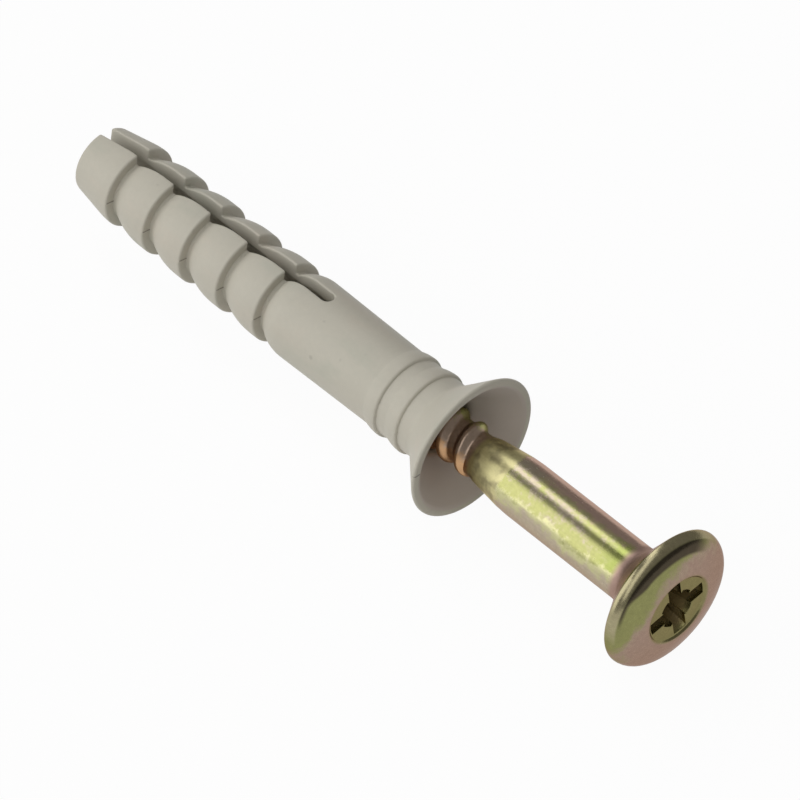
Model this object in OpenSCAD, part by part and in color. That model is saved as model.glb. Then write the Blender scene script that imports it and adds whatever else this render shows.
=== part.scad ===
// Hammer fixing plug for a 6 mm hole: a slotted plastic sleeve and the nail screw that is driven into it.
// It lies on a bench with its axis along X, its head towards +X and its collar on the plane z = 0.
// Each piece is drawn upright about Z, with the face of the collar at z = 0, and then laid down.

/* [Sleeve] */
// Length of the sleeve, from its nose to the face of its collar
sleeve_len = 35; // [32:0.5:60]
// Diameter over the crests of the barbs
barb_d = 5.85; // [5.6:0.05:6.8]
// Depth of the grooves between the barbs
barb_depth = 0.65; // [0.4:0.05:0.75]
// Length of one barb
barb_pitch = 3.53; // [3.2:0.01:3.8]
// Length over which the back of a barb rises to its crest
barb_run = 2.4; // [1.6:0.05:2.5]
// Width of the floor of the grooves
groove_w = 0.4; // [0.2:0.05:0.5]
// Number of barbs, with the nose
barb_count = 5; // [3:1:6]
// Radius of the rounded crest of a barb
crest_round = 0.3; // [0.1:0.05:0.4]
// Length of the nose, up to the first groove
nose_len = 3.65; // [3:0.05:6]
// Taper of the nose on each side, in degrees
nose_taper = 8.8; // [4:0.2:10]
// Radius of the edge at the end of the nose
nose_round = 0.25; // [0.1:0.05:0.3]

/* [Barrel and collar] */
// How much thinner the plain barrel is than the barbs
barrel_drop = 0.1; // [0.05:0.05:0.3]
// Length over which the barrel rises out of the last groove
barrel_rise = 1.8; // [1:0.1:2.6]
// Height of the two retaining ribs above the barrel
rib_height = 0.11; // [0.08:0.005:0.2]
// Spacing of the retaining ribs
rib_pitch = 1.96; // [1.4:0.02:2.2]
// Length of the rising side of a rib
rib_rise = 1; // [0.6:0.05:1.1]
// Radius of the rounded crest of a rib
rib_round = 0.18; // [0.05:0.01:0.2]
// Depth of the neck below the barrel
neck_depth = 0.08; // [0.06:0.005:0.15]
// Length of the neck between the last rib and the collar
neck_len = 1.2; // [0.3:0.02:1.5]
// Diameter of the collar
collar_d = 10.1; // [9.6:0.05:10.8]
// Height of the collar, from the neck to its face
collar_len = 2.7; // [2.4:0.1:3.6]
// Radius of the fillet under the collar
collar_fillet = 0.8; // [0.2:0.05:1]
// Width of the flat face around the mouth of the collar
rim_w = 0.5; // [0.3:0.05:0.8]
// Radius of the outer edge of the collar
rim_round = 0.15; // [0.05:0.05:0.25]

/* [Slots and bore] */
// Width of the slots between the two legs
slot_w = 0.92; // [0.6:0.02:1.2]
// Length of the slots, from the nose to their round ends
slot_len = 21.6; // [15:0.1:22.5]
// Turn of the slots away from straight up, in degrees
slot_roll = 9; // [0:1:90]
// Depth of the wide bore, from the face of the collar
bore_depth = 15.8; // [15:0.1:17]
// Length of the cone from the wide bore down to the narrow one
bore_cone = 0.8; // [0.4:0.1:1.5]
// Diameter of the bore where it leaves the nose
nose_bore_d = 2.4; // [2:0.1:3]
// Length of the taper of the bore inside the nose
nose_bore_len = 3.5; // [2:0.1:4]

/* [Nail] */
// How much shorter the nail is than the sleeve, from the widest line of its head to its point
nail_short = 0.5; // [0.3:0.1:2]
// Distance that the head stands out of the collar before it is driven
head_out = 16.85; // [10:0.05:20]
// Diameter of the plain shank
shank_d = 3.9; // [3.7:0.05:4.1]
// Length from the widest line of the head to the lower end of the plain shank
shank_len = 12.7; // [11:0.1:13.5]
// Length of the coned shoulder between the shank and the thread
shoulder_len = 2.9; // [2:0.1:3.6]
// Diameter of the threaded part, over its thread
thread_d = 3.45; // [3.2:0.05:3.6]
// Length of the point
point_len = 3; // [2:0.1:4]
// Diameter of the flat at the tip of the point
point_d = 0.5; // [0.3:0.1:1]

/* [Head] */
// How far the rim of the head stays inside the edge of the collar
head_step = 0.175; // [0.05:0.025:0.4]
// Height of the domed face above the widest line
dome_h = 1.7; // [1.3:0.05:1.9]
// Radius of the edge between the rim and the domed face
face_round = 0.95; // [0.6:0.05:1.1]
// Radius of the edge between the rim and the seat
head_round = 0.15; // [0.1:0.05:0.3]
// Angle of the seat under the head, from the axis, in degrees
seat_angle = 56; // [50:1:62]
// Radius of the fillet between the shank and the head
head_fillet = 1.25; // [0.6:0.05:1.6]
// Diameter of the dish around the cross recess
dish_d = 5; // [4.4:0.1:5.4]
// Depth of the dish below its rim on the dome
dish_depth = 0.15; // [0.1:0.05:0.4]
// Width across the wings of the cross recess
recess_d = 4.4; // [3.6:0.1:4.6]
// Width of a wing
wing_w = 1; // [0.7:0.05:1.2]
// Width across the four blunt points between the wings
star_d = 2.7; // [2.4:0.1:3]
// Width of a blunt point
star_w = 0.8; // [0.5:0.05:1]
// Share of its width that a wing keeps at the bottom of the recess
wing_draw = 0.45; // [0.3:0.05:0.6]
// Depth of the recess below the rim of the dish
recess_depth = 2.4; // [2:0.1:2.8]
// Turn of the recess, in degrees
recess_roll = 9; // [0:1:90]

/* [Fits] */
// Play between the shank and the wide bore, on each side
shank_play = 0.05; // [0.02:0.01:0.1]
// Play between the thread and the narrow bore, on each side
thread_play = 0.1; // [0.05:0.01:0.15]

/* [Hidden] */

// Steps that each rounded stretch of an outline is drawn with
arc_steps = 8;

// Steps of a full circle
$fn = 96;

// How far a cutting shape reaches past what it cuts
overcut = 1;

// How far the wings of the recess lap into its dish
lap = 0.05;

// Diameters of the sleeve, from its barbs
groove_d = barb_d - 2 * barb_depth;
barrel_d = barb_d - barrel_drop;
rib_d = barrel_d + 2 * rib_height;
neck_d = barrel_d - 2 * neck_depth;

// Bores of the sleeve, from the nail that runs in them
bore_d = shank_d + 2 * shank_play;
narrow_bore_d = thread_d + 2 * thread_play;

// Radius of the arc along the back of a barb, which is level at its crest
barb_arc = (barb_run * barb_run + barb_depth * barb_depth) / (2 * barb_depth);

// Places along the axis
nose_z = -sleeve_len;
first_groove_z = nose_z + nose_len;
barrel_z = first_groove_z + (barb_count - 1) * barb_pitch;
neck_z = -collar_len;
rib_len = rib_rise + rib_round;
last_rib_z = neck_z - neck_len - rib_len;
first_rib_z = last_rib_z - rib_pitch;

// Cone of the collar, inside and outside
mouth_d = collar_d - 2 * rim_w;
mouth_depth = (mouth_d - bore_d) / 2;
flare_w = collar_d / 2 - rim_round - neck_d / 2;
flare_h = collar_len - rim_round;
flare_angle = atan(flare_w / flare_h) + asin(rim_round / sqrt(flare_w * flare_w + flare_h * flare_h));

// Length of the nail, and the dome of its head, tangent to its rounded rim
nail_len = sleeve_len - nail_short;
head_d = collar_d - 2 * head_step;
rim_r = head_d / 2 - face_round;
dome_r = (rim_r * rim_r + dome_h * dome_h - face_round * face_round) / (2 * (dome_h - face_round));
dome_angle = asin(rim_r / (dome_r - face_round));

// Seat under the head, and where it meets the shank
back_r = head_d / 2 - head_round;
seat_r = back_r + head_round * cos(seat_angle);
seat_z = -head_round * sin(seat_angle);
seat_foot_z = seat_z - (seat_r - shank_d / 2) / tan(seat_angle);
fillet_run = head_fillet * tan(seat_angle / 2);

// Rim of the dish, where it cuts the dome
dish_rim_z = dome_h - dome_r + sqrt(dome_r * dome_r - dish_d * dish_d / 4);

// Overall reach, which centres the part on its footprint
top_z = head_out + dish_rim_z;
middle_z = (top_z + nose_z) / 2;

// Points of an arc about (r, z), from one angle to another, where 0 points away from the axis
function arc_points(r, z, radius, from, to) =
    [for (i = [0:arc_steps]) let (a = from + (to - from) * i / arc_steps) [r + radius * cos(a), z + radius * sin(a)]];

// A back that rises as an arc from one radius to a level crest at another
function rise_points(r0, z0, r1, z1) =
    let (h = r1 - r0, l = z1 - z0, radius = (l * l + h * h) / (2 * h), span = asin(l / radius))
    arc_points(r1 - radius, z1, radius, -span, 0);

// One barb or rib: its rising back, its rounded crest and the step down to the next groove
function barb_points(from_r, crest_r, to_r, z, run, length, round) =
    concat(
        rise_points(from_r, z, crest_r, z + run),
        arc_points(crest_r - round, z + length - round, round, 0, 90),
        [[to_r, z + length]]
    );

// The nose: a rounded edge and a cone that runs into the back of the first barb
function nose_points() =
    let (
        crest_z = first_groove_z - crest_round,
        start_r = barb_d / 2 - barb_arc * (1 - cos(nose_taper)),
        start_z = crest_z - barb_arc * sin(nose_taper),
        end_r = start_r - (start_z - nose_z) * tan(nose_taper)
    )
    concat(
        arc_points(end_r - nose_round, nose_z + nose_round, nose_round, -90, -nose_taper),
        arc_points(barb_d / 2 - barb_arc, crest_z, barb_arc, -nose_taper, 0),
        arc_points(barb_d / 2 - crest_round, crest_z, crest_round, 0, 90),
        [[groove_d / 2, first_groove_z]]
    );

// The ring of barbs behind the nose
function barb_row_points() =
    [for (i = [0:barb_count - 2])
        each barb_points(
            groove_d / 2, barb_d / 2, groove_d / 2, first_groove_z + i * barb_pitch + groove_w,
            barb_run, barb_pitch - groove_w, crest_round)];

// The plain barrel, which rises out of the last groove
function barrel_points() =
    rise_points(groove_d / 2, barrel_z + groove_w, barrel_d / 2, barrel_z + groove_w + barrel_rise);

// The two ribs: the first rises from the barrel and the last from the neck
function rib_points() =
    concat(
        barb_points(barrel_d / 2, rib_d / 2, neck_d / 2, first_rib_z, rib_rise, rib_len, rib_round),
        barb_points(neck_d / 2, rib_d / 2, neck_d / 2, last_rib_z, rib_rise, rib_len, rib_round)
    );

// The collar: its fillet, its cone and its rounded edge
function collar_points() =
    let (run = collar_fillet * tan(flare_angle / 2))
    concat(
        arc_points(neck_d / 2 + collar_fillet, neck_z - run, collar_fillet, 180, 180 - flare_angle),
        arc_points(collar_d / 2 - rim_round, -rim_round, rim_round, -flare_angle, 90)
    );

// The inside, from the mouth of the collar to the end of the nose
function bore_points() = [
    [mouth_d / 2, 0],
    [bore_d / 2, -mouth_depth],
    [bore_d / 2, -bore_depth],
    [narrow_bore_d / 2, -bore_depth - bore_cone],
    [narrow_bore_d / 2, nose_z + nose_bore_len],
    [nose_bore_d / 2, nose_z]
];

// One slot through both walls, with a round end
module slot() {
    rotate([90, 0, 0])
        linear_extrude(barb_d + 2 * overcut, center = true) {
            translate([-slot_w / 2, nose_z - overcut])
                square([slot_w, slot_len - slot_w / 2 + overcut]);
            translate([0, nose_z + slot_len - slot_w / 2])
                circle(d = slot_w);
        }
}

// The cross recess: wings and blunt points, both held inside cones, under a shallow dish
module recess() {
    dish_floor_z = dish_rim_z - dish_depth;
    floor_z = dish_rim_z - recess_depth;
    cut_h = dome_h - dish_floor_z + overcut;
    translate([0, 0, dish_floor_z])
        cylinder(h = cut_h, d1 = recess_d, d2 = recess_d + cut_h * (dish_d - recess_d) / dish_depth);
    for (turn = [0, 90])
        rotate([0, 0, turn])
            wing(recess_d, wing_w, floor_z, dish_floor_z);
    for (turn = [45, 135])
        rotate([0, 0, turn])
            wing(star_d, star_w, floor_z, dish_floor_z);
}

// A pair of opposite wings, which draw in towards the bottom of the recess
module wing(across, width, z0, z1) {
    intersection() {
        translate([0, 0, z0])
            cylinder(h = z1 - z0 + lap, d1 = across * wing_draw, d2 = across);
        translate([-across / 2, -width / 2, z0])
            cube([across, width, z1 - z0 + lap]);
    }
}

// Turns an upright piece onto its side, at its place on the bench
module lay_down() {
    translate([-middle_z, 0, collar_d / 2])
        rotate([0, 90, 0])
            children();
}

// The plastic sleeve, moulded in one piece
module plug_sleeve() {
    color([0.70, 0.68, 0.62])
        lay_down()
            rotate([0, 0, -slot_roll])
                difference() {
                    rotate_extrude()
                        polygon(concat(
                            nose_points(), barb_row_points(), barrel_points(), rib_points(), collar_points(),
                            bore_points()
                        ));
                    rotate([0, 0, 90])
                        slot();
                }
}

// The steel nail, headed and rolled from one wire
module drive_nail() {
    outline = concat(
        [[0, -nail_len], [point_d / 2, -nail_len], [thread_d / 2, -nail_len + point_len]],
        [[thread_d / 2, -shank_len - shoulder_len], [shank_d / 2, -shank_len]],
        arc_points(shank_d / 2 + head_fillet, seat_foot_z - fillet_run, head_fillet, 180, 180 - seat_angle),
        arc_points(back_r, 0, head_round, -seat_angle, 0),
        arc_points(rim_r, 0, face_round, 0, 90 - dome_angle),
        arc_points(0, dome_h - dome_r, dome_r, 90 - dome_angle, 90)
    );
    color([0.72, 0.66, 0.38])
        lay_down()
            translate([0, 0, head_out])
                difference() {
                    rotate_extrude()
                        polygon(outline);
                    rotate([0, 0, recess_roll])
                        recess();
                }
}

plug_sleeve();
drive_nail();
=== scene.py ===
"""A hammer fixing plug lying on a pale bench: a grey moulded sleeve and the yellow zinc nail screw in it.

Sizes are in millimetres. A piece is worked out upright, as heights z along its axis and radii r about it,
with z = 0 at the face of the collar or at the widest line of the head. It is then laid along +X on the
place that the frame gives it. A name ends in _r for a radius, _w for a width, _h for a height and _len for
a length.
"""

from __future__ import annotations

import logging
import math
from dataclasses import dataclass
from enum import Enum

import bmesh
import bpy
import numpy as np
from mathutils import Matrix, Vector


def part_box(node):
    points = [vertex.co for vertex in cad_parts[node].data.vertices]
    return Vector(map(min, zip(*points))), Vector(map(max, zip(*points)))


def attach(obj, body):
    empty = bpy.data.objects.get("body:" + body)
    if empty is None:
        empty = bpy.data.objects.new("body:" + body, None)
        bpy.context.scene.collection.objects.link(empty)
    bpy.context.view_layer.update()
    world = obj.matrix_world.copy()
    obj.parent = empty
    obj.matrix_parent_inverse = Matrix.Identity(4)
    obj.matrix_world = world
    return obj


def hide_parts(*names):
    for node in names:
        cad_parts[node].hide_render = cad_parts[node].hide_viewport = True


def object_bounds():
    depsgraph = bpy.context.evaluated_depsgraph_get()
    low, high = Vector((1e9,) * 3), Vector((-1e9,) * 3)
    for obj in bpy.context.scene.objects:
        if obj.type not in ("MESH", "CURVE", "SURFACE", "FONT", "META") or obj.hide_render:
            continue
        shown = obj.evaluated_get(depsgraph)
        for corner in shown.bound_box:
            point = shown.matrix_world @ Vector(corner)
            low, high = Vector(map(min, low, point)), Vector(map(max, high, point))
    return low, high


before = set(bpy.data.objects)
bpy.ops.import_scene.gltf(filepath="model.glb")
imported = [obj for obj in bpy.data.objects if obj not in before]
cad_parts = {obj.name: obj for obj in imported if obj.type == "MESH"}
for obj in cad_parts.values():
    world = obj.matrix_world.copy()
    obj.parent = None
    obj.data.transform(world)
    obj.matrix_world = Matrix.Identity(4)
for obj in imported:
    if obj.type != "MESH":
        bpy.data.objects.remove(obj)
CAD_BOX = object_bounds()

MM = 0.001
WELD = 0.0004 * MM
SLIVER = 0.0002 * MM
TINY = 1e-9
LOG = logging.getLogger("plug")

Pair = tuple[float, float]
Triple = tuple[float, float, float]
Span = Pair
Colour = Triple
Weights = Triple


class Body(Enum):
    """The bodies of the frame that the pieces ride on."""

    SLEEVE = "sleeve"
    NAIL = "nail"


class Slot(Enum):
    """The material slots of the record."""

    PLASTIC = "grey_plastic"
    ZINC = "yellow_zinc"


# Outlines


def lengths(points: np.ndarray) -> np.ndarray:
    """Lengths along a polyline, from its first point to each of its points."""
    return np.r_[0, np.cumsum(np.hypot(*np.diff(points, axis=0).T))]


def between(at: np.ndarray, places: np.ndarray, rows: np.ndarray) -> np.ndarray:
    """Rows of pairs, read between the places that they are given at."""
    return np.column_stack([np.interp(at, places, rows[:, k]) for k in (0, 1)])


def quarter_turn(steps: int) -> np.ndarray:
    """Angles in equal steps up to a quarter turn, without the first, in radians."""
    return np.radians(np.linspace(0, 90, steps + 1))[1:]


def shares(steps: int) -> np.ndarray:
    """Equal shares up to 1, without 0, one to a row."""
    return np.linspace(0, 1, steps + 1)[1:, None]


def smooth(share: np.ndarray) -> np.ndarray:
    """A share from 0 to 1 as a smooth step, s^2 (3 - 2 s)."""
    return share * share * (3 - 2 * share)


def arc(r: float, z: float, radius: float, start: float, end: float, steps: int = 24) -> np.ndarray:
    """Points of an arc about (r, z); 0 degrees points away from the axis and 90 along it.

    Args:
        r: Radius of the centre, from the axis.
        z: Height of the centre.
        radius: Radius of the arc.
        start: First angle, in degrees.
        end: Last angle, in degrees.
        steps: Number of steps between them.

    Returns:
        Rows of (r, z).
    """
    a = np.radians(np.linspace(start, end, steps + 1))
    return np.column_stack((r + radius * np.cos(a), z + radius * np.sin(a)))


def rise(r0: float, z0: float, r1: float, z1: float) -> np.ndarray:
    """A back that rises as an arc from (r0, z0) to a level crest at (r1, z1).

    The arc's radius is (l^2 + h^2) / 2h for a rise h over a run l, so that it is level at its crest.

    Args:
        r0: Radius at the foot.
        z0: Height of the foot.
        r1: Radius at the crest.
        z1: Height of the crest.

    Returns:
        Rows of (r, z).
    """
    h = r1 - r0
    run = z1 - z0
    radius = (run * run + h * h) / (2 * h)
    return arc(r1 - radius, z1, radius, -math.degrees(math.asin(run / radius)), 0)


@dataclass
class Outline:
    """A smooth outline (r, z) by its own length.

    A polyline is laid out again in equal short steps, and each point is then averaged with its neighbours
    under a bell curve, which rounds every corner as a mould does.
    """

    points: np.ndarray
    soft: float
    step: float = 0.01
    bell_reach: float = 3.0
    sharpest_bend: float = 12.0

    def __post_init__(self) -> None:
        """Lays the points out evenly, rounds them, and works out their normals and bends."""
        run = lengths(self.points)
        even = np.linspace(0, run[-1], int(run[-1] / self.step))
        curve = between(even, run, self.points)
        reach = int(self.bell_reach * self.soft / self.step)
        bell = np.exp(-0.5 * (np.arange(-reach, reach + 1) * self.step / self.soft) ** 2)
        bell /= bell.sum()
        before = 2 * curve[0] - curve[reach:0:-1]
        after = 2 * curve[-1] - curve[-2:-reach - 2:-1]
        longer = np.concatenate((before, curve, after))
        self.curve = np.column_stack([np.convolve(longer[:, k], bell, "valid") for k in (0, 1)])
        self.run = lengths(self.curve)
        along = np.gradient(self.curve, self.run, axis=0)
        along /= np.linalg.norm(along, axis=1, keepdims=True)
        self.normal = np.column_stack((along[:, 1], -along[:, 0]))
        self.bend = np.linalg.norm(np.gradient(along, self.run, axis=0), axis=1)

    def at(self, run: np.ndarray) -> tuple[np.ndarray, np.ndarray]:
        """Points and outward normals at some lengths along the outline.

        Args:
            run: Lengths from the start of the outline.

        Returns:
            Rows of (r, z), and rows of normals.
        """
        normal = between(run, self.run, self.normal)
        return between(run, self.run, self.curve), normal / np.linalg.norm(normal, axis=1, keepdims=True)

    def stations(self, start: float, end: float, gap: float, turn: float) -> np.ndarray:
        """Lengths between two places, no further apart than a gap and closer where the outline bends.

        Args:
            start: First length.
            end: Last length.
            gap: Widest spacing on a straight stretch.
            turn: Largest turn between neighbours, in degrees.

        Returns:
            The lengths, with both ends.
        """
        density = 1 / gap + np.minimum(self.bend, self.sharpest_bend) / math.radians(turn)
        count = np.r_[0, np.cumsum((density[1:] + density[:-1]) / 2 * np.diff(self.run))]
        first, last = np.interp((start, end), self.run, count)
        marks = np.linspace(first, last, int(math.ceil(last - first)) + 1)
        return np.interp(marks, count, self.run)

    def run_at(self, z: float, low: float, high: float) -> float:
        """Length at which the outline passes a height, within a straight stretch.

        Args:
            z: The height.
            low: Lower end of the stretch.
            high: Upper end of the stretch.

        Returns:
            The length from the start.
        """
        inside = (self.curve[:, 1] > low) & (self.curve[:, 1] < high)
        return float(np.interp(z, self.curve[inside, 1], self.run[inside]))


# Meshes


def grid_faces(rows: int, columns: int, wrap_rows: bool = False, wrap_columns: bool = False) -> np.ndarray:
    """Four-sided faces of a grid whose points are numbered row by row.

    Args:
        rows: Number of rows.
        columns: Number of columns.
        wrap_rows: The last row joins the first.
        wrap_columns: The last column joins the first.

    Returns:
        Rows of four point numbers.
    """
    index = np.arange(rows * columns).reshape(rows, columns)
    if wrap_rows:
        index = np.vstack((index, index[:1]))
    if wrap_columns:
        index = np.hstack((index, index[:, :1]))
    corners = (index[:-1, :-1], index[:-1, 1:], index[1:, 1:], index[1:, :-1])
    return np.stack(corners, axis=-1).reshape(-1, 4)


def mesh_piece(name: str, grids: list[tuple[np.ndarray, np.ndarray]], crease: float) -> bpy.types.Object:
    """Joins grids into one closed mesh.

    Args:
        name: Name of the piece.
        grids: Pairs of points, in metres in the row frame, and faces.
        crease: Edges that turn by more than this, in degrees, stay sharp.

    Returns:
        The new object, at the origin.
    """
    points = np.vstack([p.reshape(-1, 3) for p, _ in grids])
    starts = np.cumsum([0] + [p.reshape(-1, 3).shape[0] for p, _ in grids[:-1]])
    faces = np.vstack([f + s for (_, f), s in zip(grids, starts)])
    mesh = bpy.data.meshes.new(name)
    mesh.from_pydata(points, [], faces)
    work = bmesh.new()
    work.from_mesh(mesh)
    bmesh.ops.remove_doubles(work, verts=work.verts, dist=WELD)
    bmesh.ops.dissolve_degenerate(work, edges=work.edges, dist=SLIVER)
    bmesh.ops.recalc_face_normals(work, faces=work.faces)
    work.to_mesh(mesh)
    work.free()
    mesh.polygons.foreach_set("use_smooth", np.ones(len(mesh.polygons), dtype=bool))
    mesh.set_sharp_from_angle(angle=math.radians(crease))
    piece = bpy.data.objects.new(name, mesh)
    bpy.context.scene.collection.objects.link(piece)
    return piece


def box_middle(box: tuple[Vector, Vector], share: float) -> Vector:
    """Point on the middle line of a box, at a share of its length along X, in metres.

    Args:
        box: Lowest and highest corners.
        share: 0 at the low end and 1 at the high end.

    Returns:
        The point.
    """
    low, high = box
    return Vector((low.x + (high.x - low.x) * share, (low.y + high.y) / 2, (low.z + high.z) / 2))


# Shader maths


class Sock:
    """A shader socket with the arithmetic of values: an expression adds its Math nodes."""

    def __init__(self, shader: Shader, socket: bpy.types.NodeSocket) -> None:
        """Keeps the socket and the shader that it belongs to."""
        self.shader = shader
        self.socket = socket

    def _math(self, operation: str, *values: Sock | float, clamp: bool = False) -> Sock:
        """Adds a Math node."""
        settings = {"operation": operation, "use_clamp": clamp}
        return self.shader.node("ShaderNodeMath", settings, dict(enumerate(values)))

    def __add__(self, other: Sock | float) -> Sock:
        """Sum."""
        return self._math("ADD", self, other)

    __radd__ = __add__

    def __sub__(self, other: Sock | float) -> Sock:
        """Difference."""
        return self._math("SUBTRACT", self, other)

    def __rsub__(self, other: float) -> Sock:
        """Difference from a number."""
        return self._math("SUBTRACT", other, self)

    def __mul__(self, other: Sock | float) -> Sock:
        """Product."""
        return self._math("MULTIPLY", self, other)

    __rmul__ = __mul__

    def __truediv__(self, other: Sock | float) -> Sock:
        """Quotient."""
        return self._math("DIVIDE", self, other)

    def clamped(self) -> Sock:
        """Held between 0 and 1."""
        return self._math("ADD", self, 0.0, clamp=True)

    def fract(self) -> Sock:
        """What is over after the last whole number."""
        return self._math("FRACT", self)

    def hypot(self, other: Sock) -> Sock:
        """Length of a right triangle's long side."""
        return self._math("SQRT", self * self + other * other)

    def step(self, low: float, high: float) -> Sock:
        """Rises smoothly from 0 at low to 1 at high."""
        sockets = {"Value": self, "From Min": low, "From Max": high}
        return self.shader.node("ShaderNodeMapRange", {"interpolation_type": "SMOOTHSTEP"}, sockets)


@dataclass(frozen=True)
class Grain:
    """Soft noise: spots in a millimetre, finer layers, their strength, and the stretch along each axis."""

    scale: float
    detail: float
    roughness: float
    stretch: Triple = (1.0, 1.0, 1.0)


class Shader:
    """One node material, with its Principled shader and the piece's own coordinates in millimetres."""

    def __init__(self, name: str, **values: float | tuple) -> None:
        """Makes the material.

        Args:
            name: Name of the material.
            **values: Constant values of the Principled shader's sockets, with _ for a space.
        """
        self.material = bpy.data.materials.new(name)
        self.material.use_nodes = True
        self.tree = self.material.node_tree
        self.main = self.tree.nodes["Principled BSDF"]
        for key, value in values.items():
            self.main.inputs[key.replace("_", " ")].default_value = value

    def node(
        self, kind: str, settings: dict | None = None, sockets: dict | None = None, out: int | str = 0,
    ) -> Sock:
        """Adds any node.

        Args:
            kind: The node's type.
            settings: Its own settings, set first; a list of (place, colour) under "stops" fills its ramp.
            sockets: Values or links of its input sockets, by name or number.
            out: The output that is wanted.

        Returns:
            That output.
        """
        made = self.tree.nodes.new(kind)
        for key, value in (settings or {}).items():
            if key == "stops":
                self._stops(made.color_ramp, value)
            else:
                setattr(made, key, value)
        for key, value in (sockets or {}).items():
            if isinstance(value, Sock):
                self.tree.links.new(value.socket, made.inputs[key])
            else:
                made.inputs[key].default_value = value
        return Sock(self, made.outputs[out])

    @staticmethod
    def _stops(ramp: bpy.types.ColorRamp, stops: list[tuple[float, Colour]]) -> None:
        """Fills a colour ramp.

        Args:
            ramp: The ramp, which has two stops of its own.
            stops: Places from 0 to 1, in order, with their colours.
        """
        while len(ramp.elements) < len(stops):
            ramp.elements.new(1.0)
        for element, (place, colour) in zip(ramp.elements, stops):
            element.position = place
            element.color = (*colour, 1.0)

    def place(self, zero: Vector, stretch: Triple = (1.0, 1.0, 1.0)) -> Sock:
        """Object coordinates in millimetres, from a new zero, stretched.

        Args:
            zero: Point that becomes the zero, in metres.
            stretch: Stretch along each axis.

        Returns:
            The vector.
        """
        scale = Vector(stretch) / MM
        moved = Vector(-a * b for a, b in zip(zero, scale))
        sockets = {"Vector": self.node("ShaderNodeTexCoord", out="Object"), "Location": moved, "Scale": scale}
        return self.node("ShaderNodeMapping", {"vector_type": "POINT"}, sockets)

    def noise(self, zero: Vector, grain: Grain) -> Sock:
        """Soft noise from 0 to 1.

        Args:
            zero: Point that it is laid out from, in metres.
            grain: Its kind.

        Returns:
            The value.
        """
        sockets = {
            "Vector": self.place(zero, grain.stretch),
            "Scale": grain.scale,
            "Detail": grain.detail,
            "Roughness": grain.roughness,
        }
        return self.node("ShaderNodeTexNoise", {}, sockets)

    def parts(self, vector: Sock) -> tuple[Sock, Sock, Sock]:
        """Splits a vector.

        Args:
            vector: The vector.

        Returns:
            Its parts along X, Y and Z.
        """
        split = self.node("ShaderNodeSeparateXYZ", {}, {0: vector})
        x, y, z = split.socket.node.outputs
        return Sock(self, x), Sock(self, y), Sock(self, z)

    def mix(self, factor: Sock | float, a: Sock | Colour, b: Sock | Colour, blend: str = "MIX") -> Sock:
        """Mixes two colours, which are sockets 6 and 7 of the Mix node, into its output 2.

        Args:
            factor: Share of the second colour.
            a: First colour.
            b: Second colour.
            blend: Kind of mix.

        Returns:
            The colour.
        """
        def colour(value: Sock | Colour) -> Sock | tuple:
            """A plain colour with its fourth value."""
            return value if isinstance(value, Sock) else (*value, 1.0)

        sockets = {0: factor, 6: colour(a), 7: colour(b)}
        return self.node("ShaderNodeMix", {"data_type": "RGBA", "blend_type": blend}, sockets, 2)

    def shade(self, colour: Sock, tone: Sock) -> Sock:
        """A colour times a value."""
        grey = self.node("ShaderNodeCombineColor", {}, {0: tone, 1: tone, 2: tone})
        return self.mix(1.0, colour, grey, "MULTIPLY")

    def ramp(self, value: Sock, stops: list[tuple[float, Colour]]) -> Sock:
        """Colour of a value between stops."""
        return self.node("ShaderNodeValToRGB", {"stops": stops}, {0: value})

    def feed(self, **sockets: Sock) -> None:
        """Links values to the Principled shader's sockets, with _ for a space."""
        for key, value in sockets.items():
            self.tree.links.new(value.socket, self.main.inputs[key.replace("_", " ")])

    def bump(self, height: Sock, depth: float, strength: float) -> Sock:
        """Normal of a height map.

        Args:
            height: Height from 0 to 1.
            depth: Height of 1, in millimetres.
            strength: Strength of the bump.

        Returns:
            The normal.
        """
        sockets = {"Height": height, "Distance": depth * MM, "Strength": strength}
        return self.node("ShaderNodeBump", {}, sockets)


# Finishes


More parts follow.
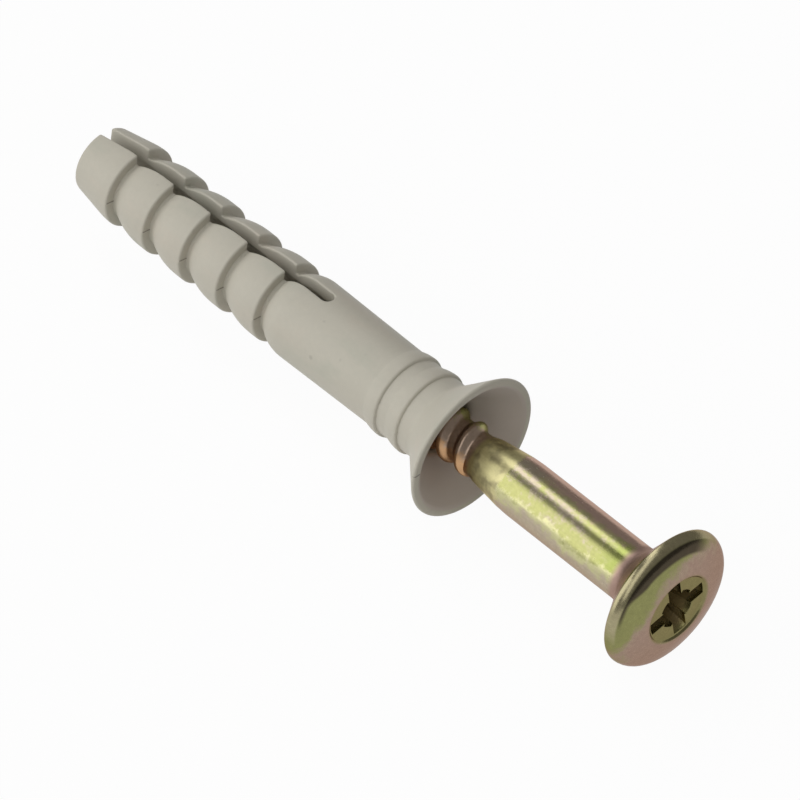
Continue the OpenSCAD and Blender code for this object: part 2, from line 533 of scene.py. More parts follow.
@dataclass(frozen=True)
class GreyPlastic:
    """Dull moulded plastic: warm light grey, faintly mottled, with a few dark specks.

    A span says where a mask begins and where it is full. Heights along the sleeve are from its nose.
    """

    base: Colour = (0.515, 0.490, 0.415)
    warm: Colour = (0.530, 0.492, 0.415)
    cool: Colour = (0.480, 0.470, 0.395)
    speck: Colour = (0.30, 0.28, 0.235)
    mouth: Colour = (0.52, 0.465, 0.42)
    # seam is the dark colour of the painted shade along the parting line and in the nick
    seam: Colour = (0.20, 0.185, 0.15)
    refraction: float = 1.46
    specular: float = 0.35
    roughness: float = 0.52
    rough_swing: float = 0.12
    # Mottle and specks
    cloud: Grain = Grain(0.42, 4.0, 0.6, (0.35, 1.0, 1.0))
    fine: Grain = Grain(2.6, 3.0, 0.6)
    grit: Grain = Grain(14.0, 2.0, 0.5)
    strewn: Grain = Grain(0.9, 1.0, 0.5)
    warm_at: Span = (0.52, 0.72)
    cool_at: Span = (0.48, 0.28)
    tone: float = 0.94
    fine_tone: float = 0.09
    grit_tone: float = 0.03
    specks_per_mm: float = 0.55
    speck_edge: Span = (0.12, 0.05)
    strewn_at: Span = (0.52, 0.60)
    speck_share: float = 0.35
    # Cone of the mouth
    mouth_edge: Span = (0.055, 0.015)
    mouth_from: Span = (32.0, 32.4)
    # Parting line on the barb steps, painted as a dark line: painted shade of its ridge
    tick_lead: float = 0.2
    tick_square: Span = (0.005, 0.001)
    tick_end: Span = (0.28, 0.24)
    tick_top: Span = (2.90, 2.84)
    tick_from: Span = (3.4, 3.45)
    tick_to: Span = (21.0, 20.0)
    tick_share: float = 0.8
    # Nick in the rim, painted as a dark oval: painted shade in place of its dent
    nick_place: Pair = (-4.68, 0.92)
    nick_squeeze: Pair = (3.0, 12.0)
    nick_edge: Span = (1.0, 0.6)
    nick_from: Span = (34.6, 34.8)
    nick_share: float = 0.85
    # Relief
    fine_height: float = 0.55
    grit_height: float = 0.25
    cloud_height: float = 0.8
    relief: float = 0.02
    relief_strength: float = 0.55

    def material(self, nose: Vector, sleeve: PlugSleeve) -> bpy.types.Material:
        """Makes the material.

        Args:
            nose: Middle of the sleeve's nose, in metres.
            sleeve: The sleeve, whose sizes place the mouth and the seam.

        Returns:
            The material.
        """
        shader = Shader("grey_plastic", IOR=self.refraction, Specular_IOR_Level=self.specular)
        where = shader.place(nose)
        cloud = shader.noise(nose, self.cloud)
        fine = shader.noise(nose, self.fine)
        grit = shader.noise(nose, self.grit)
        colour = shader.mix(cloud.step(*self.warm_at), self.base, self.warm)
        colour = shader.mix(cloud.step(*self.cool_at), colour, self.cool)
        colour = shader.shade(colour, self.tone + self.fine_tone * fine + self.grit_tone * grit)
        cells = shader.node("ShaderNodeTexVoronoi", {}, {"Vector": where, "Scale": self.specks_per_mm})
        speck = cells.step(*self.speck_edge) * shader.noise(nose, self.strewn).step(*self.strewn_at)
        colour = shader.mix(speck * self.speck_share, colour, self.speck)
        along, across, up = shader.parts(where)
        radius = across.hypot(up)
        cone = radius - along - (sleeve.mouth_r - sleeve.length)
        mouth = cone.step(*self.mouth_edge) * along.step(*self.mouth_from)
        colour = shader.mix(mouth, colour, self.mouth)
        # Painted shade: a short dark line where the mould's parting line crosses each barb step.
        parting_shade = self._parting_shade(along, across, up, sleeve) * radius.step(*self.tick_top)
        colour = shader.mix(parting_shade * self.tick_share, colour, self.seam)
        # Painted shade: a small dark oval for the nick in the rim.
        nick_shade = self._nick_shade(across, up) * along.step(*self.nick_from)
        colour = shader.mix(nick_shade * self.nick_share, colour, self.seam)
        height = fine * self.fine_height + grit * self.grit_height + cloud * self.cloud_height
        shader.feed(
            Base_Color=colour,
            Roughness=self.roughness + self.rough_swing * (fine - 0.5),
            Normal=shader.bump(height, self.relief, self.relief_strength),
        )
        return shader.material

    def _parting_shade(self, along: Sock, across: Sock, up: Sock, sleeve: PlugSleeve) -> Sock:
        """The mould's parting line, painted as a short dark line on the step of each barb: painted shade of
        its ridge.

        The line is where the distance from the parting plane, squared, is next to nothing.

        Args:
            along: Height from the nose.
            across: Place across the sleeve.
            up: Place above the axis.
            sleeve: The sleeve, whose slots stand square to the plane.

        Returns:
            The mask.
        """
        lean = math.radians(sleeve.slot_lean)
        off_plane = math.sin(lean) * across + math.cos(lean) * up
        first = sleeve.nose_len - self.tick_lead
        past = ((along - first) / sleeve.barb_pitch).fract() * sleeve.barb_pitch
        line = (off_plane * off_plane).step(*self.tick_square) * past.step(*self.tick_end)
        return line * along.step(*self.tick_from) * along.step(*self.tick_to)

    def _nick_shade(self, across: Sock, up: Sock) -> Sock:
        """A small oval nick in the collar's rim, painted as a dark mark: painted shade in place of a dent.

        Args:
            across: Place across the sleeve.
            up: Place above the axis.

        Returns:
            The mask.
        """
        across_off = (across - self.nick_place[0]) * self.nick_squeeze[0]
        up_off = (up - self.nick_place[1]) * self.nick_squeeze[1]
        return across_off.hypot(up_off).step(*self.nick_edge)


class Film:
    """Where a point of the nail is, and the noise there: the sockets that the film's masks are made from."""

    def __init__(self, finish: YellowZinc, shader: Shader, face: Vector) -> None:
        """Makes the sockets.

        Args:
            finish: The finish, which has the kinds of noise.
            shader: The shader that they are in.
            face: Middle of the head's widest line, in metres.
        """
        self.along, self.across, self.up = shader.parts(shader.place(face))
        self.radius = self.across.hypot(self.up)
        self.drift = shader.noise(face, finish.drift) - 0.5
        self.patch = shader.noise(face, finish.patch) - 0.5
        self.mottle = shader.noise(face, finish.mottle) - 0.5

    def toward(self, way: Pair) -> Sock:
        """Distance from the axis in one direction, given across and up."""
        return way[0] * self.across + way[1] * self.up

    def noise(self, weights: Weights) -> Sock:
        """Drift, patch and mottle by their weights."""
        return weights[0] * self.drift + weights[1] * self.patch + weights[2] * self.mottle


@dataclass(frozen=True)
class YellowZinc:
    """Zinc plate under a yellow passive film: lemon, with drifts of green, tan and mauve, and fine scratches.

    A span says where a mask begins and where it is full. Heights along the nail are from the widest line of
    its head. A way is a direction square to the axis, given across and up, and noise weights are for the
    drift, the patches and the mottle.
    """

    lemon: Colour = (0.42, 0.42, 0.17)
    lime: Colour = (0.35, 0.39, 0.115)
    # cream is a painted highlight along the low side of the shank
    cream_highlight: Colour = (0.58, 0.56, 0.30)
    # pale is the shank's pale patches, and a painted reflection along its low side
    pale: Colour = (0.48, 0.41, 0.305)
    green: Colour = (0.255, 0.255, 0.103)
    mauve: Colour = (0.345, 0.243, 0.190)
    # plum is a painted reflection along the top of the shank
    plum: Colour = (0.60, 0.43, 0.35)
    # fillet is painted shade on one side of the seat under the head
    fillet: Colour = (0.43, 0.30, 0.25)
    tan: Colour = (0.345, 0.262, 0.195)
    # dark is a painted dark reflection in a band round the head
    dark_reflection: Colour = (0.064, 0.050, 0.037)
    # lip is a painted highlight along the head's lip
    lip_highlight: Colour = (0.38, 0.34, 0.205)
    dish: Colour = (0.205, 0.195, 0.072)
    # hollow is painted shade in the cross recess
    recess_shade: Colour = (0.25, 0.185, 0.078)
    moss: Colour = (0.62, 0.57, 0.30)
    stain: Colour = (0.38, 0.34, 0.19)
    brown: Colour = (0.46, 0.35, 0.27)
    # copper is a painted glint along the low side of the thread
    copper_glint: Colour = (0.56, 0.34, 0.18)
    edge: Colour = (0.70, 0.60, 0.55)
    # Noise, and the ways that the colours drift
    drift: Grain = Grain(0.45, 2.0, 0.5, (0.5, 1.0, 1.0))
    patch: Grain = Grain(1.3, 2.0, 0.5)
    mottle: Grain = Grain(3.2, 3.0, 0.6)
    drawn: Grain = Grain(1.0, 3.0, 0.65, (0.25, 9.0, 9.0))
    dust: Grain = Grain(9.0, 2.0, 0.6)
    fall_way: Pair = (0.535, -0.845)
    slide_way: Pair = (0.845, 0.535)
    low_way: Pair = (-0.841, -0.541)
    near_way: Pair = (-0.544, 0.839)
    low_noise: Weights = (1.4, 0.9, 0.9)
    near_noise: Weights = (2.0, 1.0, 0.0)
    plum_at: Span = (-1.1, -0.2)
    # Head, with a painted dark reflection in a band and a painted highlight on the lip
    head_from: Span = (-0.25, 0.0)
    ring_centre: float = 3.3
    ring_noise: Weights = (2.0, 1.2, 0.8)
    ring_at: Span = (4.3, 6.9)
    ring_mauve: float = 0.4
    ring_tan: float = 0.65
    ring_green: float = 0.95
    dish_edge: Span = (2.6, 2.35)
    dish_share: float = 0.85
    band_r: float = 4.02
    band_ahead: float = 0.08
    band_ahead_at: Span = (0.0, 1.9)
    band_behind: float = 0.46
    band_behind_at: Span = (-0.1, -1.9)
    band_edge: Span = (-0.12, 0.12)
    band_fall: Span = (-0.8, -2.4)
    band_slide: Span = (-3.6, -2.4)
    band_from: Span = (0.1, 0.35)
    band_share: float = 0.95
    highlight_edge: Span = (4.58, 4.70)
    highlight_fall: Span = (0.5, -1.5)
    highlight_slide: Span = (-4.4, -3.4)
    # Shank, shoulder, seat under the head, and thread, with painted highlights, reflections and glints along
    # their sides and painted shade under the head
    pale_noise: Weights = (1.0, 0.6, 0.5)
    pale_at: Span = (-0.06, 0.22)
    lime_from: Span = (-4.9, -2.9)
    cream_highlight_low: Span = (0.65, 1.05)
    pale_reflection_low: Span = (1.0, 1.6)
    plum_reflection_low: Span = (-0.9, -1.6)
    shoulder_noise: Weights = (0.0, 0.7, 0.6)
    shoulder_from: Span = (-12.75, -13.0)
    stain_at: Span = (-0.08, 0.18)
    seat_from: Span = (-3.0, -2.4)
    seat_to: Span = (-0.1, -0.4)
    seat_noise: Weights = (1.0, 0.6, 0.0)
    tan_at: Span = (-0.08, 0.14)
    thread_from: Span = (-15.6, -16.1)
    copper_glint_low: Span = (0.6, 1.2)
    lemon_glint_low: Span = (-0.9, -1.3)
    # Recess, painted darker: painted shade
    recess_top: Span = (1.2, 0.7)
    recess_foot: Span = (-2.0, -1.5)
    recess_edge: Span = (2.6, 2.4)
    recess_share: float = 0.85
    recess_dull: float = 0.75
    # Tone, roughness and relief
    tone: float = 0.81
    mottle_tone: float = 0.35
    drawn_tone: float = 0.24
    roughness: float = 0.20
    drawn_rough: float = 0.10
    mottle_rough: float = 0.10
    shoulder_rough: float = 0.10
    seat_rough: float = 0.20
    drawn_height: float = 0.6
    dust_height: float = 0.4
    mottle_height: float = 0.8
    relief: float = 0.008
    relief_strength: float = 0.5

    def material(self, face: Vector) -> bpy.types.Material:
        """Makes the material.

        Args:
            face: Middle of the head's widest line, in metres.

        Returns:
            The material.
        """
        shader = Shader("yellow_zinc", Specular_Tint=(*self.edge, 1.0))
        film = Film(self, shader, face)
        along = film.along
        low = film.toward(self.low_way) + film.noise(self.low_noise)
        # Side of the plum painted reflection on the shank and of the painted shade under the head.
        plum = (film.toward(self.near_way) + film.noise(self.near_noise)).step(*self.plum_at)
        shoulder = (along + film.noise(self.shoulder_noise)).step(*self.shoulder_from)
        seat = along.step(*self.seat_from) * along.step(*self.seat_to)
        recess = along.step(*self.recess_top) * along.step(*self.recess_foot)
        recess = recess * film.radius.step(*self.recess_edge)
        stained = shader.mix(film.patch.step(*self.stain_at), self.moss, self.stain)
        under = shader.mix(film.noise(self.seat_noise).step(*self.tan_at), self.lemon, self.tan)
        # Thread: brown, with painted glints, copper along the low side and lemon along the top.
        threads = shader.mix(low.step(*self.copper_glint_low), self.brown, self.copper_glint)
        threads = shader.mix(low.step(*self.lemon_glint_low), threads, self.lemon)
        colour = shader.mix(shoulder, self._shank(shader, film, low, plum), stained)
        # Seat under the head: lemon and tan, with painted shade in the fillet colour on the plum side.
        colour = shader.mix(seat, colour, shader.mix(plum, under, self.fillet))
        colour = shader.mix(along.step(*self.head_from), colour, self._head(shader, film))
        colour = shader.mix(along.step(*self.thread_from), colour, threads)
        # Painted shade in the cross recess.
        colour = shader.mix(recess * self.recess_share, colour, self.recess_shade)
        drawn = shader.noise(face, self.drawn)
        colour = shader.shade(colour, self.tone + self.mottle_tone * film.mottle + self.drawn_tone * drawn)
        rough = self.roughness + self.drawn_rough * drawn + self.mottle_rough * film.mottle
        height = drawn * self.drawn_height + shader.noise(face, self.dust) * self.dust_height
        height = height + film.mottle * self.mottle_height
        shader.feed(
            Base_Color=colour,
            Roughness=rough + self.shoulder_rough * shoulder + self.seat_rough * seat,
            Metallic=1.0 - self.recess_dull * recess,
            Normal=shader.bump(height, self.relief, self.relief_strength),
        )
        return shader.material

    def _shank(self, shader: Shader, film: Film, low: Sock, plum: Sock) -> Sock:
        """Colour of the plain shank: lemon and pale patches, lime under the head, a painted highlight in
        cream and then a painted reflection in pale along the low side, and a painted reflection in plum along
        the top.

        Args:
            shader: The shader.
            film: Places and noise.
            low: Distance toward the low side.
            plum: Mask of the side that gets the painted plum reflection.

        Returns:
            The colour.
        """
        colour = shader.mix(film.noise(self.pale_noise).step(*self.pale_at), self.lemon, self.pale)
        colour = shader.mix(film.along.step(*self.lime_from), colour, self.lime)
        # Painted highlight and then painted reflection along the low side.
        colour = shader.mix(low.step(*self.cream_highlight_low), colour, self.cream_highlight)
        colour = shader.mix(low.step(*self.pale_reflection_low), colour, self.pale)
        # Painted reflection along the top.
        return shader.mix(low.step(*self.plum_reflection_low) * plum, colour, self.plum)

    def _head(self, shader: Shader, film: Film) -> Sock:
        """Colour of the head: mauve in a ring that drifts to tan and green, a painted dark reflection in a
        band, and a painted highlight on the lip above.

        The ring is the distance from a point beside the axis, and the band lies between two radii, of which
        the inner one is largest behind the axis, against the slide way.

        Args:
            shader: The shader.
            film: Places and noise.

        Returns:
            The colour.
        """
        radius = film.radius
        fall = film.toward(self.fall_way)
        slide = film.toward(self.slide_way)
        ring = (fall - self.ring_centre).hypot(slide) + film.noise(self.ring_noise)
        colour = shader.ramp(ring.step(*self.ring_at), [
            (self.ring_mauve, self.mauve),
            (self.ring_tan, self.tan),
            (self.ring_green, self.green),
        ])
        colour = shader.mix(radius.step(*self.dish_edge) * self.dish_share, colour, self.dish)
        inner = self.band_r - self.band_ahead * slide.step(*self.band_ahead_at)
        inner = inner + self.band_behind * slide.step(*self.band_behind_at)
        # Painted dark reflection in a band round the head, between two radii.
        reflection_band = (radius - inner).step(*self.band_edge) * radius.step(*self.highlight_edge[::-1])
        reflection_band = reflection_band * fall.step(*self.band_fall) * slide.step(*self.band_slide)
        reflection_band = reflection_band * film.along.step(*self.band_from)
        colour = shader.mix(reflection_band * self.band_share, colour, self.dark_reflection)
        # Painted highlight along the lip.
        lip_highlight = radius.step(*self.highlight_edge) * fall.step(*self.highlight_fall) * slide.step(*self.highlight_slide)
        return shader.mix(lip_highlight, colour, self.lip_highlight)


# Pieces


@dataclass
class SlotLoop:
    """Stations once round the sleeve's outline, with what the slots need at each.

    Points and normals are rows of (r, z). The first rows are the flat end of the nose, the next ones are the
    outside of the legs, and the last ones are their bore. The edge is the radius that rounds a slot's edge,
    and half is half a slot's width.
    """

    points: np.ndarray
    normals: np.ndarray
    edge: np.ndarray
    half: np.ndarray
    leg_rows: int
    middle_z: float


@dataclass
class PlugSleeve:
    """The moulded sleeve: barbs, plain barrel, two ribs and a collar, cut by two slots into two legs.

    Each half between the slots is one grid. Its rows follow the outline, once round from the inner edge of
    the nose over the outside to the mouth and back through the bore. Its columns run from slot to slot.
    """

    length: float = 35.0
    barb_r: float = 2.925
    groove_r: float = 2.275
    barb_pitch: float = 3.53
    barb_run: float = 2.5
    groove_w: float = 0.22
    barb_count: int = 5
    crest_round: float = 0.14
    crest_turn: float = 80.0
    nose_len: float = 3.65
    nose_taper: float = 8.8
    nose_round: float = 0.25
    barrel_r: float = 2.92
    barrel_end_r: float = 2.82
    barrel_rise: float = 1.8
    barrel_plain: Span = (-14.8, -8.0)
    rib_r: float = 2.985
    rib_pitch: float = 1.96
    rib_rise: float = 1.0
    rib_round: float = 0.18
    rib_turn: float = 75.0
    neck_r: float = 2.795
    neck_len: float = 1.1
    collar_r: float = 5.045
    collar_len: float = 2.8
    collar_fillet: float = 0.8
    rim_w: float = 0.5
    rim_round: float = 0.15
    slot_w: float = 0.94
    slot_len: float = 21.6
    slot_lean: float = 9.0
    slot_round: float = 0.13
    bore_r: float = 2.0
    bore_depth: float = 15.8
    narrow_r: float = 1.825
    narrow_depth: float = 16.6
    nose_bore_r: float = 1.2
    nose_bore_len: float = 3.5
    bore_edge: float = 0.03
    seam_h: float = 0.045
    seam_w: float = 0.045
    seam_slope: Span = (0.15, 0.75)
    seam_facing: float = -0.2
    # Rows and columns of the grid
    seam_columns: tuple[float, ...] = (0.016, 0.035, 0.06)
    side_columns: tuple[float, ...] = (0.07, 0.16, 0.28, 0.42, 0.6)
    edge_columns: int = 5
    back_columns: int = 20
    outline_soft: float = 0.028
    leg_gap: float = 0.28
    top_gap: float = 0.45
    row_turn: float = 9.0
    flat_rows: int = 7
    end_rows: int = 12
    past_rows: int = 5
    mouth_rows: int = 13
    bore_rows: int = 12
    crease: float = 50.0

    @property
    def mouth_r(self) -> float:
        """Radius of the collar's mouth."""
        return self.collar_r - self.rim_w

    def outside(self) -> np.ndarray:
        """Outline from the flat end of the nose to the mouth of the collar.

        Returns:
            Rows of (r, z).
        """
        nose_z = -self.length
        groove_z = nose_z + self.nose_len
        depth = self.barb_r - self.groove_r
        back = (self.barb_run ** 2 + depth * depth) / (2 * depth)
        crest_z = groove_z - self.crest_round
        crest_r = self.barb_r - self.crest_round
        taper = math.radians(self.nose_taper)
        start_r = self.barb_r - back * (1 - math.cos(taper))
        start_z = crest_z - back * math.sin(taper)
        end_r = start_r - (start_z - nose_z) * math.tan(taper)
        lines = [
            arc(end_r - self.nose_round, nose_z + self.nose_round, self.nose_round, -90, -self.nose_taper),
            arc(self.barb_r - back, crest_z, back, -self.nose_taper, 0),
            arc(crest_r, crest_z, self.crest_round, 0, self.crest_turn),
            np.array([[self.groove_r, groove_z]]),
        ]
        for k in range(self.barb_count - 1):
            foot = groove_z + k * self.barb_pitch + self.groove_w
            step_z = groove_z + (k + 1) * self.barb_pitch
            lines.append(rise(self.groove_r, foot, self.barb_r, foot + self.barb_run))
            lines.append(arc(crest_r, step_z - self.crest_round, self.crest_round, 0, self.crest_turn))
            lines.append(np.array([[self.groove_r, step_z]]))
        foot = groove_z + (self.barb_count - 1) * self.barb_pitch + self.groove_w
        lines.append(rise(self.groove_r, foot, self.barrel_r, foot + self.barrel_rise))
        last = -self.collar_len - self.neck_len - self.rib_rise - self.rib_round
        for from_r, foot in ((self.barrel_end_r, last - self.rib_pitch), (self.neck_r, last)):
            top = foot + self.rib_rise
            lines.append(rise(from_r, foot, self.rib_r, top))
            lines.append(arc(self.rib_r - self.rib_round, top, self.rib_round, 0, self.rib_turn))
            lines.append(np.array([[self.neck_r, top + self.rib_round]]))
        lines.append(self.flare())
        lines.append(np.array([[self.mouth_r, 0.0]]))
        return np.vstack(lines)

    def flare(self) -> np.ndarray:
        """The collar: a fillet on the neck, a cone, and the rounded edge that the cone runs into.

        Returns:
            Rows of (r, z).
        """
        edge = self.rim_round
        wide = self.collar_r - edge - self.neck_r
        high = self.collar_len - edge
        lean = math.atan2(wide, high) + math.asin(edge / math.hypot(wide, high))
        foot_z = -self.collar_len - self.collar_fillet * math.tan(lean / 2)
        lean = math.degrees(lean)
        return np.vstack((
            arc(self.neck_r + self.collar_fillet, foot_z, self.collar_fillet, 180, 180 - lean),
            arc(self.collar_r - edge, -edge, edge, -lean, 90),
        ))

    def inside(self) -> np.ndarray:
        """Corners of the bore, from the end of the nose up to the mouth.

        Returns:
            Rows of (r, z).
        """
        return np.array([
            [self.nose_bore_r, -self.length],
            [self.narrow_r, self.nose_bore_len - self.length],
            [self.narrow_r, -self.narrow_depth],
            [self.bore_r, -self.bore_depth],
            [self.bore_r, self.bore_r - self.mouth_r],
            [self.mouth_r, 0.0],
        ])

    def loop(self) -> SlotLoop:
        """Lays stations once round the outline.

        Round the end of a slot they are at the sines of equal angles, so that the round edge is even. At a
        distance d beyond the middle of that end, a slot of half-width w has narrowed to sqrt(w^2 - d^2).

        Returns:
            The stations.
        """
        outline = Outline(self.outside(), self.outline_soft)
        half = self.slot_w / 2
        end_z = self.slot_len - self.length
        middle_z = end_z - half
        middle = outline.run_at(middle_z, *self.barrel_plain)
        end = outline.run_at(end_z, *self.barrel_plain)
        legs = outline.stations(0, middle, self.leg_gap, self.row_turn)
        round_end = middle + (end - middle) * np.sin(quarter_turn(self.end_rows))
        past = end + self.slot_round * (1 - np.cos(quarter_turn(self.past_rows)))
        rest = outline.stations(past[-1], outline.run[-1], self.top_gap, self.row_turn)[1:]
        outer, normal = outline.at(np.r_[legs, round_end, past, rest])
        leg_rows = legs.size + round_end.size - 1
        flat_r = np.linspace(self.nose_bore_r, outer[0, 0], self.flat_rows)
        flat = np.column_stack((flat_r, np.full(self.flat_rows, -self.length)))
        flat_normal = np.tile((0.0, -1.0), (self.flat_rows, 1))
        leg_z = (outer[:, 1] - self.slot_round * normal[:, 1])[1:leg_rows + 1]
        bore = self.inside()
        cone_z = self.bore_r - self.mouth_r
        inner_z = np.r_[
            np.linspace(0, cone_z, self.mouth_rows),
            np.linspace(cone_z, end_z, self.bore_rows)[1:-1],
            leg_z[::-1],
        ]
        inner_r = np.interp(inner_z, bore[:, 1], bore[:, 0])
        slope = np.gradient(inner_r, inner_z)
        inner_normal = np.column_stack((-np.ones_like(slope), slope)) / np.hypot(1, slope)[:, None]
        points = np.vstack((flat, outer[1:], np.column_stack((inner_r, inner_z))[1:]))
        edge = np.full(len(points), self.slot_round)
        edge[-(len(inner_z) - 1):] = self.bore_edge
        beyond = np.clip(points[:, 1] - middle_z, 0, half)
        return SlotLoop(
            points=points,
            normals=np.vstack((flat_normal, normal[1:], inner_normal[1:])),
            edge=edge,
            half=np.sqrt(half * half - beyond * beyond),
            leg_rows=leg_rows,
            middle_z=middle_z,
        )

    def half_shell(self) -> tuple[np.ndarray, SlotLoop]:
        """One half between the slots, in the slots' own axes: along, away from the slots' plane, up the slot.

        At a distance d from a slot's outline the surface drops by f - sqrt(f^2 - (f - d)^2), which rounds the
        slot's edge to a radius f, and at the mould's seam it rises by a narrow bell curve.

        Returns:
            Points as rows by columns by 3, in millimetres, and the stations.
        """
        loop = self.loop()
        r, z = np.hsplit(loop.points, 2)
        n_r, n_z = np.hsplit(loop.normals, 2)
        edge, half = loop.edge[:, None], loop.half[:, None]
        on_legs = z <= loop.middle_z
        turn = np.r_[0, quarter_turn(self.edge_columns)]
        near = np.hstack((edge * (1 - np.cos(turn)), edge + np.array(self.side_columns)))
        near_phi = np.arcsin(np.clip((half + near) / (r - n_r * self._drop(near, edge)), 0, 1))
        seam = np.array(self.seam_columns) / math.pi
        side_share = np.linspace(0, 0.5, self.back_columns)[1:-1]
        share = np.sort(np.r_[side_share, 0.5 - seam, 0.5, 0.5 + seam, 0.5 + side_share])
        span = math.pi - 2 * near_phi[:, -1:]
        phi = np.hstack((near_phi, near_phi[:, -1:] + span * share, math.pi - near_phi[:, ::-1]))
        side = r * np.sin(phi)
        from_slot = np.where(on_legs, side, np.hypot(z - loop.middle_z, side)) - self.slot_w / 2
        count = near.shape[1]
        from_slot[:, :count] = np.where(on_legs, near, from_slot[:, :count])
        from_slot[:, -count:] = from_slot[:, count - 1::-1]
        lift = self._seam(loop, phi) - self._drop(from_slot, edge)
        radius = r + n_r * lift
        height = z + n_z * lift
        side = radius * np.sin(phi)
        side[:, :count] = np.where(on_legs, half + near, side[:, :count])
        side[:, -count:] = side[:, count - 1::-1]
        level = np.sqrt(np.maximum(radius * radius - side * side, 0)) * np.sign(np.cos(phi) + TINY)
        return np.stack((height, side, level), axis=-1), loop

    @staticmethod
    def _drop(distance: np.ndarray, fillet: np.ndarray) -> np.ndarray:
        """Drop of a rounded edge at a distance from it."""
        short = fillet - np.clip(distance, 0, fillet)
        return fillet - np.sqrt(fillet * fillet - short * short)

    def _seam(self, loop: SlotLoop, phi: np.ndarray) -> np.ndarray:
        """Rise of the mould's seam, which shows where a barb or a rib steps down.

        Args:
            loop: The stations.
            phi: Angles of the points from the slot.

        Returns:
            The rise at each point.
        """
        r, z = np.hsplit(loop.points, 2)
        n_r, n_z = np.hsplit(loop.normals, 2)
        low, high = self.seam_slope
        steep = np.clip((n_z - low) / (high - low), 0, 1)
        outside = (n_r > self.seam_facing) & (z < -self.collar_len)
        bell = np.exp(-(((phi - math.pi / 2) * r) / self.seam_w) ** 2)
        return self.seam_h * steep * outside * bell

    def walls(self, shell: np.ndarray, loop: SlotLoop) -> list[np.ndarray]:
        """The flat sides of the slots along one half, each ruled from its outer edge to its inner edge.

        Args:
            shell: Points of the half.
            loop: Its stations.

        Returns:
            Two grids of points.
        """
        flat, legs = self.flat_rows, loop.leg_rows
        share = np.linspace(0, 1, flat)[None, :, None]
        grids = []
        for column in (0, -1):
            outer = shell[flat:flat + legs, column]
            inner = shell[:-legs - 1:-1, column]
            ruled = outer[:, None, :] * (1 - share) + inner[:, None, :] * share
            grids.append(np.concatenate((shell[flat - 1::-1, column][None], ruled)))
        return grids

    @staticmethod
    def laid(points: np.ndarray, turn: float) -> np.ndarray:
        """Turns points from the slots' axes into the row frame.

        Args:
            points: Points in the slots' axes.
            turn: Angle about the axis, in radians.

        Returns:
            Points along X, Y and Z.
        """
        z, side, level = np.moveaxis(points, -1, 0)
        y = level * math.sin(turn) - side * math.cos(turn)
        up = level * math.cos(turn) + side * math.sin(turn)
        return np.stack((z, y, up), axis=-1)

    def face(self) -> Vector:
        """Middle of the collar's face on its place in the frame, in metres."""
        return box_middle(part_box("plug_sleeve"), 1.0)

    def build(self) -> bpy.types.Object:
        """Builds the sleeve on its place in the frame, as two halves with the walls of their slots.

        Returns:
            The piece.
        """
        face = np.array(self.face())
        lean = math.radians(self.slot_lean)
        shell, loop = self.half_shell()
        half = [(shell, grid_faces(*shell.shape[:2], wrap_rows=True))]
        half += [(wall, grid_faces(*wall.shape[:2])) for wall in self.walls(shell, loop)]
        grids = [
            (self.laid(points, turn) * MM + face, faces)
            for turn in (lean, lean + math.pi)
            for points, faces in half
        ]
        return mesh_piece("plug_sleeve_moulded", grids, self.crease)

    def dress(self, piece: bpy.types.Object, finish: GreyPlastic) -> None:
        """Gives the sleeve its finish, hides the part that it stands for, and says what it rides on.

        Args:
            piece: The sleeve.
            finish: Its finish.
        """
        nose = self.face() - Vector((self.length * MM, 0, 0))
        piece.data.materials.append(finish.material(nose, self))
        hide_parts("plug_sleeve")
        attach(piece, Body.SLEEVE.value)


